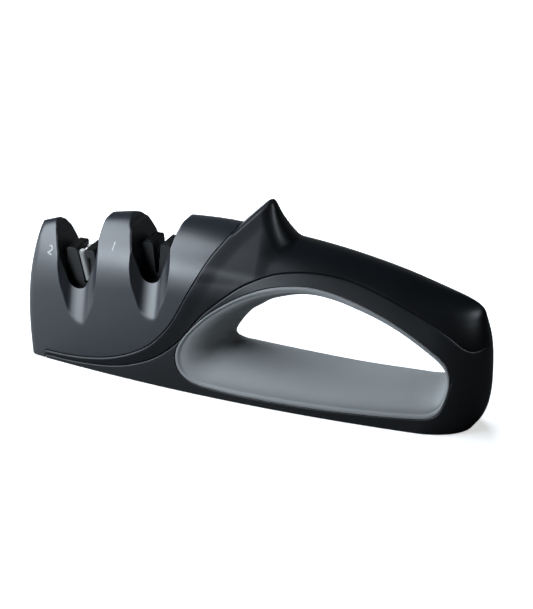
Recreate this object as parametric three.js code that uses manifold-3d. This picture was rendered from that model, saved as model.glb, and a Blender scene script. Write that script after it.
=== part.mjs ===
// Two-stage hand-held knife sharpener with a finger loop, in millimetres, +Z up.
// The head is at -X, the handle's rear end at +X, and the knife is drawn along Y.
import * as THREE from 'three';
import { mergeVertices } from 'three/addons/utils/BufferGeometryUtils.js';
import Module from 'manifold-3d';

const wasm = await Module();
wasm.setup();

const { clamp, smoothstep } = THREE.MathUtils;

// Overall form
const UNIT = 1; // millimetres to one unit of the drawn outlines
const FRONT_X = -97.4; // foremost point of the head
const REAR_X = 97.4; // rearmost point of the handle
const HEAD_TOP = 69.2; // height of the head's back
const HALF_WIDE = 17.5; // half the base width at its widest place
const WIDEST_X = 13; // where the base is widest
const PLAN_RADIUS = 680; // plan arc of each flank
const BASE_Z = 0.4; // underside of the base, which the pads lift off the table
const NOSE_LONG = 9.2; // the head overhangs the base in front by this
const NOSE_GAP = 0.3; // the nose stands this much higher than the base

// Flank section: an arch that reaches its full width this far under the back
const HEAD_ARCH = 28; // on the head
const GRIP_ARCH = 22; // on the handle
const GRIP_START = -12; // the head's arch begins to turn into the handle's here
const GRIP_FULL = 28; // and is the handle's from here on
const FRONT_ROUND = 5; // plan rounding of the front end
const REAR_ROUND = 20; // plan rounding of the rear end

// Horn guard above the back
const HORN_X = -5; // where the horn and the upper shell begin
const HORN_LONG = 29; // length of the horn's foot
const HORN_RISE = 11.6; // the tip stands this far above the head
const HORN_HALF = 4; // half thickness near the tip
const HORN_TAPER = 0.35; // gain in half thickness per mm downwards
const HORN_FOOT = 60; // the horn ends inside the flanks at this height
const HORN_EDGE = 5; // width of the horn's rounded edge

// Fits
const FIT = 0.3; // clearance between neighbours
const THROUGH = 30; // half length of a cut that goes right through
const BELOW = -5; // cuts from underneath begin here
const ABOVE = HEAD_TOP + 2 * HORN_RISE; // cuts upwards end here

// Sharpening stages: distance from the front, spoon tip, rim of the pocket, wall, arm top
const SLOT_HALF = 10.6; // half width of a slot at its mouth
const SLOT_DEEP = 30; // height over which the slot opens out
const SLOT_BULGE = 1.65; // roundness of the slot's floor
const SLOT_CORNER = 2.6; // rounding of the slot's upper corners
const POCKET_HALF = 6.6; // half width of a cartridge pocket along X
const POCKET_RISE = 11; // a pocket ends this far above its rim
const FINE = stage(24.9, 20.3, 33.7, 3.2, 49.6);
const COARSE = stage(58.5, 29.1, 43, 3.7, 57.4);

// Cartridges and abrasives
const LEDGE = 0.5; // the cartridge's ledge lies this far under the pocket's rim
const ARM_HALF_DEEP = 5.5; // half depth of the arms along Y
const ARM_CORNER = 0.8; // corner of an arm
const ARM_ROOT = 6; // the arms reach this far under the rim
const V_TOP = 1.7; // half opening of the V at its top
const V_FOOT = 0.6; // half opening at its foot
const V_DEEP = 12.6; // depth of the V
const RIB_COUNT = 5; // ribs on each coarse arm
const RIB_PITCH = 2;
const RIB_WIDE = 0.9;
const RIB_HIGH = 0.45;
const RIB_LONG = 2.6;
const ROD_RADIUS = 1.8;
const ROD_TIP = 0.9; // length of a rod's rounded end
const ROD_OFF_Y = 3; // the rods pass each other in Y
const ROD_TOP = { x: 1, under: 1.2 }; // from the slot's plane and under the arm top
const ROD_END = { x: 1.8, under: 14.4 };
const ROD_ROOF = 3.2; // each arm is cut away for the other arm's rod from this far under its top
const PLATE_THICK = 1.6;
const PLATE_OFF_Y = 1.9; // the plates pass each other in Y
const PLATE_WIDE = 3.6;
const PLATE_TOP = { x: 1.8, under: 1.4 };
const PLATE_END = { x: 1, under: 13.4 };

// Liner of the finger loop
const LIP = 2; // width of the liner's lip on the flank
const LIP_EDGE = 0.5; // thickness of the lip's edge
const RING = 60; // points round the loop
const FLARE_STEPS = 10; // steps across the loop

// Screws and pads
const HEAD_RADIUS = 2.8;
const HEAD_HIGH = 1.8;
const SHANK_RADIUS = 1.5;
const DRIVE_RADIUS = 1.3;
const DRIVE_DEEP = 0.7;
const SCREW_POINT = 1.2;
const SCREW_BITE = 11; // length of thread in the head or a cartridge
const BEARING = 0.15; // a screw's seat is cut this far into the tray
const PAD_HIGH = 1.5;
const PAD_CORNER = 4;

// A stage's sizes from outline units
function stage(fromFront, tip, rim, wall, arm) {
  return {
    x: FRONT_X + fromFront * UNIT, tipZ: tip * UNIT, rimZ: rim * UNIT, wall: wall * UNIT, armTop: arm * UNIT,
  };
}

// Outline points in units, placed from an origin
function drawn([u0, v0], points) {
  return points.map(([u, v]) => [u0 + u * UNIT, v0 + v * UNIT]);
}

// A smooth line v(u) through a few points, level beyond its ends
function lineThrough(points) {
  const last = points.length - 1;
  const slope = points.map((p, i) => {
    const a = points[Math.max(i - 1, 0)];
    const b = points[Math.min(i + 1, last)];
    return (b[1] - a[1]) / (b[0] - a[0]);
  });
  return (u) => {
    let i = 0;
    while (i < last - 1 && u > points[i + 1][0]) {
      i += 1;
    }
    const [u0, v0] = points[i];
    const [u1, v1] = points[i + 1];
    const h = u1 - u0;
    const t = clamp((u - u0) / h, 0, 1);
    const s = 1 - t;
    const ends = v0 * s * s * (1 + 2 * t) + v1 * t * t * (3 - 2 * t);
    return ends + h * t * s * (slope[i] * s - slope[i + 1] * t);
  };
}

// Side view: the back falls away from the head's top, and the ends bow out from the base
const backLine = lineThrough(drawn([0, HEAD_TOP], [
  [-97.4, -14.2], [-82, -9.1], [-62, -4.4], [-48, -2], [-27, -0.3], [-8, 0], [20, -2.6], [39, -5],
  [59, -8.8], [75, -12.9], [89, -16.4], [98.4, -20.5],
]));
const frontLine = lineThrough(drawn([0, FRONT_X], [
  [0, 0.6], [14, 0], [25, 0.3], [37, 1.6], [46, 3.2], [56, 5.7], [60, 7.7],
]));
const rearLine = lineThrough(drawn([0, REAR_X], [
  [0, -6.4], [6, -2.4], [14, -0.4], [25, 0], [37, -0.8], [46, -2.9], [50, -4.3], [54, -8.5],
]));
const hornLine = lineThrough([
  [HORN_X, HEAD_TOP],
  ...drawn([HORN_X, HEAD_TOP + HORN_RISE], [[10.4, -1.5], [12.7, 0], [14.4, -1.2], [17.8, -6.6], [22.8, -12.2]]),
  [HORN_X + HORN_LONG, HEAD_TOP - HORN_EDGE],
]);

// Seams on the side view: the tray's upper and lower faces, which the shell carries on from
const NOSE_X = FRONT_X + NOSE_LONG;
const trayTop = lineThrough([
  ...drawn([0, 0], [
    [-88.2, 3.9], [-76, 4.6], [-66.5, 5.9], [-57, 8.2], [-47.5, 12.1], [-38.2, 18.1],
    [-29.1, 28.7], [-20.4, 44.7], [-12.6, 58.7],
  ]),
  [HORN_X, HEAD_TOP],
]);
const trayUnder = lineThrough(drawn([0, 0], [
  [-88.2, 1.9], [-71.4, 2.6], [-54.7, 5], [-42.9, 9.1], [-33.7, 14.5], [-24.7, 22.9], [-15.9, 34.5],
  [-7.5, 42.7], [0.7, 49.6], [8.7, 54.3], [16.7, 57.3], [28.5, 58.9], [40.3, 58.3], [52.2, 55.6],
  [64.1, 51.3], [75.9, 45.5], [87.3, 38], [93, 35.6], [99.4, 35],
]));

// Finger loop: the liner's edge on the flank, and the narrowest outline at the mid-plane
const linerEdge = closedCurve(drawn([0, 0], [
  [-27, 14.6], [-25, 21.4], [-16, 32.7], [-7.4, 40.1], [3, 47], [15, 52], [29, 53.7],
  [43, 51.3], [61, 44.4], [75, 36.3], [82.4, 30], [84.8, 23.5], [82.8, 13.8], [77, 7.4], [66, 5.7],
  [42, 4.2], [18, 3.5], [-8, 3.8], [-20.5, 5.4], [-25.3, 8.8],
]));
const loopThroat = closedCurve(drawn([0, 0], [
  [-7.4, 22.6], [-5.6, 30], [0.6, 37.3], [6.2, 41.8], [11.5, 45.2], [19, 48.8], [29, 50.6],
  [42, 48.6], [59, 42.6], [71.5, 35.4], [77.8, 28.6], [79.6, 23.4], [77.4, 18.6], [72, 16.3],
  [64, 15.8], [42, 15.6], [18, 15.6], [0, 16.2], [-4.6, 17.6], [-6.6, 19.6],
]));

// Points of a smooth closed curve through a few points in XZ
function closedCurve(points) {
  const path = new THREE.CatmullRomCurve3(points.map(([x, z]) => new THREE.Vector3(x, 0, z)), true);
  return path.getPoints(RING).slice(0, -1).map((p) => [p.x, p.z]);
}

// Points of a line between two places
function sampled(line, x0, x1, count) {
  return Array.from({ length: count + 1 }, (_, i) => x0 + ((x1 - x0) * i) / count).map((x) => [x, line(x)]);
}

// A run of points moved to its left by d
function shifted(points, d, closed = false) {
  const n = points.length;
  return points.map(([x, z], i) => {
    const a = points[closed ? (i + n - 1) % n : Math.max(i - 1, 0)];
    const b = points[closed ? (i + 1) % n : Math.min(i + 1, n - 1)];
    const long = Math.hypot(b[0] - a[0], b[1] - a[1]);
    return [x - (d * (b[1] - a[1])) / long, z + (d * (b[0] - a[0])) / long];
  });
}

// Rounding that rises from 0 to 1 with a bulge of power p
function round(t, p) {
  return (1 - (1 - clamp(t, 0, 1)) ** p) ** (1 / p);
}

// Half width of the body at (x, z), without the horn
function bodyHalf(x, z) {
  const plan = HALF_WIDE - (x - WIDEST_X) ** 2 / (2 * PLAN_RADIUS);
  const arch = HEAD_ARCH + (GRIP_ARCH - HEAD_ARCH) * smoothstep(x, GRIP_START, GRIP_FULL);
  const section = round((backLine(x) - z) / arch, 2);
  const ends = round((rearLine(z) - x) / REAR_ROUND, 2.3) * round((x - frontLine(z)) / FRONT_ROUND, 3);
  return plan * section * ends;
}

// A solid from points and triangles, turned outwards
function solidOf(points, triangles) {
  const at = (i) => new THREE.Vector3().fromArray(points, 3 * i);
  let volume = 0;
  for (let i = 0; i < triangles.length; i += 3) {
    volume += at(triangles[i]).dot(at(triangles[i + 1]).cross(at(triangles[i + 2])));
  }
  const triVerts = new Uint32Array(volume < 0 ? [...triangles].reverse() : triangles);
  return new wasm.Manifold(new wasm.Mesh({ numProp: 3, vertProperties: new Float32Array(points), triVerts }));
}

// A solid from a closed geometry, its shared vertices merged
function toSolid(geometry) {
  geometry.deleteAttribute('normal');
  geometry.deleteAttribute('uv');
  const merged = mergeVertices(geometry, 1e-4);
  const index = [...merged.getIndex().array];
  const triangles = [];
  for (let i = 0; i < index.length; i += 3) {
    const [a, b, c] = index.slice(i, i + 3);
    if (a !== b && b !== c && a !== c) {
      triangles.push(a, b, c);
    }
  }
  return solidOf([...merged.getAttribute('position').array], triangles);
}

function toGeometry(solid) {
  const mesh = solid.getMesh();
  const geometry = new THREE.BufferGeometry();
  geometry.setAttribute('position', new THREE.BufferAttribute(mesh.vertProperties, mesh.numProp));
  geometry.setIndex(new THREE.BufferAttribute(mesh.triVerts, 1));
  geometry.computeVertexNormals();
  return geometry;
}

// A loft through closed rings of equal count, closed at both ends by a fan
function loft(rings) {
  const n = rings[0].length;
  const points = rings.flat(2);
  const triangles = [];
  for (let r = 0; r + 1 < rings.length; r += 1) {
    for (let i = 0; i < n; i += 1) {
      const [a, b] = [r * n + i, r * n + ((i + 1) % n)];
      triangles.push(a, b, b + n, a, b + n, a + n);
    }
  }
  [0, rings.length - 1].forEach((r, end) => {
    const middle = points.length / 3;
    points.push(...[0, 1, 2].map((k) => rings[r].reduce((sum, p) => sum + p[k], 0) / n));
    for (let i = 0; i < n; i += 1) {
      const [a, b] = [r * n + i, r * n + ((i + 1) % n)];
      triangles.push(...(end ? [a, b, middle] : [b, a, middle]));
    }
  });
  return solidOf(points, triangles);
}

// A prism along Y over an outline in XZ
function prism(outline, halfDeep, middle = 0) {
  const shape = new THREE.Shape(outline.map(([x, z]) => new THREE.Vector2(x, z)));
  const geometry = new THREE.ExtrudeGeometry(shape, { depth: 2 * halfDeep, bevelEnabled: false });
  geometry.rotateX(Math.PI / 2);
  geometry.translate(0, middle + halfDeep, 0);
  return toSolid(geometry);
}

function box(x0, x1, y0, y1, z0, z1) {
  const geometry = new THREE.BoxGeometry(x1 - x0, y1 - y0, z1 - z0);
  geometry.translate((x0 + x1) / 2, (y0 + y1) / 2, (z0 + z1) / 2);
  return toSolid(geometry);
}

// A turned piece about an upright axis, from points [radius, height]
function turned(profile, sides, tilt, place) {
  const geometry = new THREE.LatheGeometry(profile.map(([r, h]) => new THREE.Vector2(r, h)), sides);
  geometry.rotateX(Math.PI / 2);
  geometry.rotateY(tilt);
  geometry.translate(...place);
  return toSolid(geometry);
}

function union(solids) {
  return solids.reduce((all, one) => all.add(one));
}

// Stations along the body, closer together at the rounded ends
function stations() {
  const quarter = (i, n) => Math.sin((i / n) * (Math.PI / 2));
  const front = [0, 1, 2, 3, 4, 5].map((i) => FRONT_X + 7 * (1 - quarter(6 - i, 6)));
  const rear = [0, 1, 2, 3, 4, 5, 6, 7, 8].map((i) => REAR_X - 22 * (1 - quarter(i, 8)));
  const count = 33;
  const [x0, x1] = [FRONT_X + 7, REAR_X - 22];
  const middle = Array.from({ length: count }, (_, i) => x0 + ((x1 - x0) * i) / count);
  return [...front, ...middle, ...rear];
}

// One grid point of the flank: the end stations follow the bowed ends
function flankPoint(station, level) {
  const pullFront = Math.max(1 - (station - FRONT_X) / 40, 0);
  const pullRear = Math.max(1 - (REAR_X - station) / 40, 0);
  let [x, z] = [station, BASE_Z];
  for (let i = 0; i < 12; i += 1) {
    x = station + pullFront * (frontLine(z) - FRONT_X) + pullRear * (rearLine(z) - REAR_X);
    z = BASE_Z + level * (backLine(x) - BASE_Z);
  }
  return [x, z];
}

// The outer body from flank to flank, flat underneath
function bodySolid() {
  const along = stations();
  const rows = 18;
  const [points, triangles] = [[], []];
  const id = (i, j) => 2 * (i * (rows + 1) + j);
  along.forEach((station, i) => {
    for (let j = 0; j <= rows; j += 1) {
      const [x, z] = flankPoint(station, 1 - (1 - j / rows) ** 1.8);
      const onEdge = j === rows || i === 0 || i === along.length - 1;
      const half = onEdge ? 0 : bodyHalf(x, z);
      points.push(x, -half, z, x, half, z);
    }
  });
  for (let i = 0; i + 1 < along.length; i += 1) {
    for (let j = 0; j < rows; j += 1) {
      const [a, b, c, d] = [id(i, j), id(i + 1, j), id(i + 1, j + 1), id(i, j + 1)];
      triangles.push(a, b, c, a, c, d, c + 1, b + 1, a + 1, d + 1, c + 1, a + 1);
    }
    const [a, b] = [id(i, 0), id(i + 1, 0)];
    triangles.push(a, a + 1, b + 1, a, b + 1, b);
  }
  const geometry = new THREE.BufferGeometry();
  geometry.setAttribute('position', new THREE.BufferAttribute(new Float32Array(points), 3));
  geometry.setIndex(triangles);
  return toSolid(geometry);
}

// The horn: its outline drawn in step by step, thicker as it goes in and down
function hornSolid() {
  const foot = [[HORN_X + HORN_LONG - 2, HORN_FOOT], [HORN_X + 2, HORN_FOOT]];
  const outline = [...sampled(hornLine, HORN_X, HORN_X + HORN_LONG, 24), ...foot];
  const [cx, cz] = [HORN_X + HORN_LONG / 2, HORN_FOOT];
  const ring = (inset, side) => outline.map(([px, pz]) => {
    const keep = 1 - inset / Math.hypot(px - cx, pz - cz);
    const [x, z] = [cx + (px - cx) * keep, cz + (pz - cz) * keep];
    const half = HORN_HALF + HORN_TAPER * Math.max(HEAD_TOP + HORN_RISE - z, 0);
    return [x, side * half * round(inset / HORN_EDGE, 2.2), z];
  });
  const insets = [1, 0.6, 0.3, 0.12, 0.03].map((share) => share * HORN_EDGE);
  const near = insets.map((inset) => ring(inset, -1));
  const far = insets.map((inset) => ring(inset, 1)).reverse();
  return loft([...near, ring(0, 0), ...far]);
}

// The hand's way through the loop: it flares from the throat to the lip by a quarter ellipse
function loopSolid() {
  const lip = linerEdge.map(([x, z], i) => {
    const [tx, tz] = loopThroat[i];
    const share = Math.min(LIP / Math.hypot(tx - x, tz - z), 0.7);
    return [x + (tx - x) * share, z + (tz - z) * share];
  });
  const outside = (side) => lip.map(([x, z]) => [x, side * THROUGH, z]);
  const flares = Array.from({ length: FLARE_STEPS + 1 }, (_, k) => (k / FLARE_STEPS - 0.5) * Math.PI);
  const rings = flares.map((turn) => lip.map(([lx, lz], i) => {
    const [tx, tz] = loopThroat[i];
    const out = 1 - Math.cos(turn);
    const reach = bodyHalf(lx, lz) - LIP_EDGE;
    return [tx + (lx - tx) * out, reach * Math.sin(turn), tz + (lz - tz) * out];
  }));
  return loft([outside(-1), ...rings, outside(1)]);
}

// Where a stage's pocket ends in Y: one wall inside the flank at its spoon tip
function rimHalf({ x, tipZ, wall }) {
  return bodyHalf(x, tipZ) - wall;
}

// One knife slot: a round-floored U along Y that dives to a spoon tip on each flank
function slotSolid(at) {
  const rimY = rimHalf(at);
  const dive = (at.rimZ - at.tipZ) / at.wall;
  const side = (sign, floor) => {
    const rises = [0.2, 0.7, 1.8, 3.5, 6, 9, 12.5, 16, 20];
    const wallEdge = rises.map((r) => [SLOT_HALF * round(r / SLOT_DEEP, SLOT_BULGE), floor + r]);
    const corner = backLine(at.x + sign * (SLOT_HALF + SLOT_CORNER)) - SLOT_CORNER;
    const bend = [0, 0.35, 0.7, 1].map((t) => t * (Math.PI / 2)).map((a) => [
      SLOT_HALF + SLOT_CORNER * (1 - Math.cos(a)),
      corner + SLOT_CORNER * Math.sin(a),
    ]);
    const out = [SLOT_HALF + SLOT_CORNER, ABOVE];
    return [...wallEdge, ...bend, out].map(([half, z]) => [at.x + sign * half, z]);
  };
  const ring = (y) => {
    const floor = at.rimZ - dive * Math.max(Math.abs(y) - rimY, 0);
    const outline = [[at.x, floor], ...side(1, floor), ...side(-1, floor).reverse()];
    return outline.map(([x, z]) => [x, y, z]);
  };
  const reach = rimY + at.wall + 3;
  return loft([ring(-reach), ring(-rimY), ring(rimY), ring(reach)]);
}

// The pocket that takes a cartridge from below
function pocketSolid(at) {
  const rimY = rimHalf(at);
  return box(at.x - POCKET_HALF, at.x + POCKET_HALF, -rimY, rimY, BELOW, at.rimZ + POCKET_RISE);
}

// Cartridge: a block in the pocket with two arms and a V between them
function cartridgeSolid(at) {
  const half = POCKET_HALF - FIT;
  const deep = rimHalf(at) - FIT;
  const block = box(at.x - half, at.x + half, -deep, deep, BELOW, at.rimZ - LEDGE);
  const arm = (s) => [
    [V_FOOT, at.armTop - V_DEEP], [V_TOP, at.armTop - ARM_CORNER], [V_TOP + ARM_CORNER / 2, at.armTop],
    [half - ARM_CORNER, at.armTop], [half, at.armTop - ARM_CORNER], [half, at.rimZ - ARM_ROOT],
  ].map(([u, z]) => [at.x + s * u, z]);
  return block.add(prism([...arm(-1).reverse(), ...arm(1)], ARM_HALF_DEEP));
}

// Ribs across the coarse arms' tops
function ribSolids() {
  const middle = (V_TOP + POCKET_HALF) / 2;
  return [-1, 1].flatMap((s) => Array.from({ length: RIB_COUNT }, (_, k) => {
    const x = COARSE.x + s * middle;
    const y = (k - (RIB_COUNT - 1) / 2) * RIB_PITCH;
    const z = COARSE.armTop;
    const [hx, hy] = [RIB_LONG / 2, RIB_WIDE / 2];
    return box(x - hx, x + hx, y - hy, y + hy, z - RIB_HIGH, z + RIB_HIGH);
  }));
}

// A ceramic rod that leans across the fine slot; s = 1 is the left one
function rodSolid(s, grow) {
  const run = s * (ROD_TOP.x + ROD_END.x);
  const rise = ROD_END.under - ROD_TOP.under;
  const long = Math.hypot(run, rise) + grow;
  const r = ROD_RADIUS + grow;
  const profile = [
    [0, -grow], [0.7 * r, 0.25 * ROD_TIP - grow], [r, ROD_TIP - grow],
    [r, long - ROD_TIP], [0.7 * r, long - 0.25 * ROD_TIP], [0, long],
  ];
  const place = [FINE.x + s * ROD_END.x, -s * ROD_OFF_Y, FINE.armTop - ROD_END.under];
  return turned(profile, 16, Math.atan2(-run, rise), place);
}

// Room in one arm for the lower end of the rod that the other arm carries
function rodRoom(s) {
  const roof = FINE.armTop - ROD_ROOF;
  const low = FINE.armTop - ROD_END.under;
  const back = ROD_END.x + ROD_RADIUS + FIT;
  const outline = [[0, roof], [back, roof], [back, low], [ROD_END.x, low]].map(([u, z]) => [FINE.x + s * u, z]);
  const depth = (ARM_HALF_DEEP + FIT) / 2;
  return prism(outline, depth, -s * depth);
}

// A carbide plate whose long edge leans across the coarse slot; s = 1 is the left one
function plateSolid(s, grow) {
  const top = new THREE.Vector2(-PLATE_TOP.x, COARSE.armTop - PLATE_TOP.under);
  const end = new THREE.Vector2(PLATE_END.x, COARSE.armTop - PLATE_END.under);
  const along = top.clone().sub(end).normalize();
  const back = new THREE.Vector2(-along.y, along.x);
  const corner = (from, up, out) => from.clone().addScaledVector(along, up).addScaledVector(back, out);
  const outline = [
    corner(top, grow, -grow), corner(end, -grow, -grow),
    corner(end, -grow, PLATE_WIDE + grow), corner(top, grow, PLATE_WIDE + grow),
  ];
  const placed = outline.map((p) => [COARSE.x + s * p.x, p.y]);
  return prism(placed, PLATE_THICK / 2 + grow, -s * PLATE_OFF_Y);
}

// A screw's seat on the tray, clear of the tray's slope
function traySeat(x) {
  return trayUnder(x + HEAD_RADIUS + FIT) + BEARING;
}

// Screws: through the tray into the cartridges and the head, and through the lower body into the shell
function trayScrew(name, x, y) {
  return { name, x, y, seat: traySeat(x), tip: trayTop(x) + SCREW_BITE, open: BELOW };
}
const coarseScrewX = COARSE.x - 3;
const headScrewX = (FINE.x + COARSE.x) / 2;
const frontScrewX = linerEdge[0][0] - 2 * SHANK_RADIUS - 3;
const rearScrewX = 52;
const screws = [
  trayScrew('fine_cartridge_screw_near', FINE.x, -rimHalf(FINE) / 2),
  trayScrew('fine_cartridge_screw_far', FINE.x, rimHalf(FINE) / 2),
  trayScrew('coarse_cartridge_screw_near', coarseScrewX, -rimHalf(COARSE) / 2),
  trayScrew('coarse_cartridge_screw_far', coarseScrewX, rimHalf(COARSE) / 2),
  trayScrew('head_screw_near', headScrewX, -7),
  trayScrew('head_screw_far', headScrewX, 7),
  {
    name: 'shell_screw_front', x: frontScrewX, y: 0, open: BELOW,
    seat: trayUnder(frontScrewX) - 7, tip: trayTop(frontScrewX - SHANK_RADIUS) - 1.5,
  },
  {
    name: 'shell_screw_rear', x: rearScrewX, y: 0, open: trayUnder(rearScrewX) - 10,
    seat: trayUnder(rearScrewX) - 4.1, tip: backLine(rearScrewX) - 2.4,
  },
];

function screwSolid({ x, y, seat, tip }) {
  const low = seat - HEAD_HIGH;
  return turned([
    [0, low + DRIVE_DEEP], [DRIVE_RADIUS - 0.2, low + DRIVE_DEEP], [DRIVE_RADIUS, low],
    [HEAD_RADIUS - 0.5, low], [HEAD_RADIUS, low + 0.5], [HEAD_RADIUS, seat],
    [SHANK_RADIUS, seat], [SHANK_RADIUS, tip - SCREW_POINT], [0, tip],
  ], 14, 0, [x, y, 0]);
}

function screwHole({ x, y, seat, tip, open }) {
  const [head, shank] = [HEAD_RADIUS + FIT, SHANK_RADIUS + FIT];
  return turned([
    [0, open], [head, open], [head, seat], [shank, seat], [shank, tip - SCREW_POINT + FIT], [0, tip + FIT],
  ], 14, 0, [x, y, 0]);
}

// Anti-slip pads let into the underside
const pads = [
  { name: 'base_pad_front', x: (FINE.x + headScrewX) / 2, halfLong: 4.2, halfWide: 9 },
  { name: 'base_pad_rear', x: 54, halfLong: 24, halfWide: 7 },
];

function padSolid({ x, halfLong, halfWide }, grow, low) {
  const [hx, hy] = [halfLong + grow, halfWide + grow];
  const [cx, cy] = [hx - PAD_CORNER, hy - PAD_CORNER];
  const shape = new THREE.Shape();
  shape.absarc(cx, cy, PAD_CORNER, 0, Math.PI / 2);
  shape.absarc(-cx, cy, PAD_CORNER, Math.PI / 2, Math.PI);
  shape.absarc(-cx, -cy, PAD_CORNER, Math.PI, 1.5 * Math.PI);
  shape.absarc(cx, -cy, PAD_CORNER, 1.5 * Math.PI, 2 * Math.PI);
  const geometry = new THREE.ExtrudeGeometry(shape, { depth: PAD_HIGH - low, bevelEnabled: false, curveSegments: 5 });
  geometry.translate(x, 0, low);
  return toSolid(geometry);
}

// Regions on the side view that divide the body into its mouldings
const trayTopSeam = sampled(trayTop, NOSE_X, HORN_X, 32);
const trayUnderSeam = sampled(trayUnder, NOSE_X, REAR_X + 13, 58);
const [noseSeam] = shifted(trayTopSeam, FIT);
const noseZ = BASE_Z + NOSE_GAP;
const headRegion = prism([
  [FRONT_X - 10, noseZ], [NOSE_X - FIT, noseZ], [NOSE_X - FIT, noseSeam[1]],
  ...shifted(trayTopSeam, FIT), [HORN_X - FIT, ABOVE], [FRONT_X - 10, ABOVE],
], THROUGH);
const shellRegion = prism([
  ...trayUnderSeam, [REAR_X + 13, ABOVE], [HORN_X, ABOVE], ...trayTopSeam.slice().reverse(),
], THROUGH);
const lowerSeam = shifted(trayUnderSeam, -FIT);
const lowerRegion = prism([[NOSE_X, BELOW], ...lowerSeam, [REAR_X + 13, BELOW]], THROUGH);
const linerPocket = prism(linerEdge, THROUGH);
const linerRegion = prism(shifted(linerEdge, -FIT, true), THROUGH);

const body = bodySolid();
const holes = union(screws.map(screwHole));
const cuts = union([FINE, COARSE].flatMap((at) => [slotSolid(at), pocketSolid(at)]));
const padPockets = union(pads.map((pad) => padSolid(pad, FIT, BELOW)));
const rodGrooves = union([1, -1].flatMap((s) => [rodSolid(s, FIT), rodRoom(s)]));
const plateGrooves = union([1, -1].map((s) => plateSolid(s, FIT)));

// Materials: colour, roughness, metalness
const SATIN_HEAD = [0x60646b, 0.42, 0.35];
const BLACK_SHELL = [0x16191c, 0.38, 0];
const BLACK_BASE = [0x2a292e, 0.45, 0];
const GREY_RUBBER = [0x868a8d, 0.8, 0];
const BLACK_INNER = [0x0d0d0e, 0.5, 0];
const WHITE_CERAMIC = [0xd6d6d4, 0.5, 0];
const DARK_CARBIDE = [0x45484c, 0.35, 0.8];
const STEEL = [0x9a9da0, 0.35, 1];

const group = new THREE.Group();
group.name = 'knife_sharpener';

function addPiece(name, solid, [color, roughness, metalness]) {
  const material = new THREE.MeshStandardMaterial({ color, roughness, metalness });
  const mesh = new THREE.Mesh(toGeometry(solid), material);
  mesh.name = name;
  group.add(mesh);
}

addPiece('head_housing', body.intersect(headRegion).subtract(cuts).subtract(holes), SATIN_HEAD);
addPiece('handle_top_shell', body.add(hornSolid()).intersect(shellRegion).subtract(holes), BLACK_SHELL);
addPiece('lower_body', body.intersect(lowerRegion).subtract(linerPocket.add(holes).add(padPockets)), BLACK_BASE);
addPiece('grip_liner', body.intersect(linerRegion).subtract(loopSolid()), GREY_RUBBER);
const fineBlock = cartridgeSolid(FINE).intersect(headRegion);
addPiece('fine_cartridge', fineBlock.subtract(rodGrooves).subtract(holes), BLACK_INNER);
const coarseBlock = union([cartridgeSolid(COARSE), ...ribSolids()]).intersect(headRegion);
addPiece('coarse_cartridge', coarseBlock.subtract(plateGrooves).subtract(holes), BLACK_INNER);
addPiece('fine_rod_left', rodSolid(1, 0), WHITE_CERAMIC);
addPiece('fine_rod_right', rodSolid(-1, 0), WHITE_CERAMIC);
addPiece('coarse_plate_left', plateSolid(1, 0), DARK_CARBIDE);
addPiece('coarse_plate_right', plateSolid(-1, 0), DARK_CARBIDE);
screws.forEach((screw) => addPiece(screw.name, screwSolid(screw), STEEL));
pads.forEach((pad) => addPiece(pad.name, padSolid(pad, 0, 0), GREY_RUBBER));

export default group;
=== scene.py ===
"""Looks of a two-stage hand-held knife sharpener, laid out as an add-on and run as a script.

Shapes are worked out in millimetres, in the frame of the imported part: the head is at -X, the
handle's rear end at +X, the knife is drawn along Y and +Z is up. Meshes are in metres.
"""

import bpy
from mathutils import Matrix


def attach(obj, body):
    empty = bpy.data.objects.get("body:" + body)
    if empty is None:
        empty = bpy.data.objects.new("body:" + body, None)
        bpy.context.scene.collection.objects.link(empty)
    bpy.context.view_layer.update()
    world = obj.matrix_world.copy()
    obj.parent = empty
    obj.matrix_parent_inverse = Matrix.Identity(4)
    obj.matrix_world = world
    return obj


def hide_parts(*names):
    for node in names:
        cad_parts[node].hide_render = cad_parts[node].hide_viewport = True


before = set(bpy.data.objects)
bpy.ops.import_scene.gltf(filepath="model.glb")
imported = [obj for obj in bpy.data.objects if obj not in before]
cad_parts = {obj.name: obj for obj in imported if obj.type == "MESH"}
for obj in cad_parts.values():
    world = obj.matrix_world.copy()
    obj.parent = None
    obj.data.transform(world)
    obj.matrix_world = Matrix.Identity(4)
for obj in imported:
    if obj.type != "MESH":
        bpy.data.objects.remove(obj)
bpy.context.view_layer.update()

import math

import bmesh
import bpy
import numpy as np
from bpy.props import FloatProperty, FloatVectorProperty, PointerProperty
from bpy.types import Operator, Panel, PropertyGroup
from mathutils import Matrix, Vector

bl_info = {
    "name": "Knife sharpener",
    "version": (1, 0, 0),
    "blender": (4, 5, 0),
    "location": "View3D > Sidebar > Sharpener",
    "description": "Moulded head, shells, liner and abrasives of a hand-held knife sharpener",
    "category": "Object",
}

MM = 0.001
BODY = "root"

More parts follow.
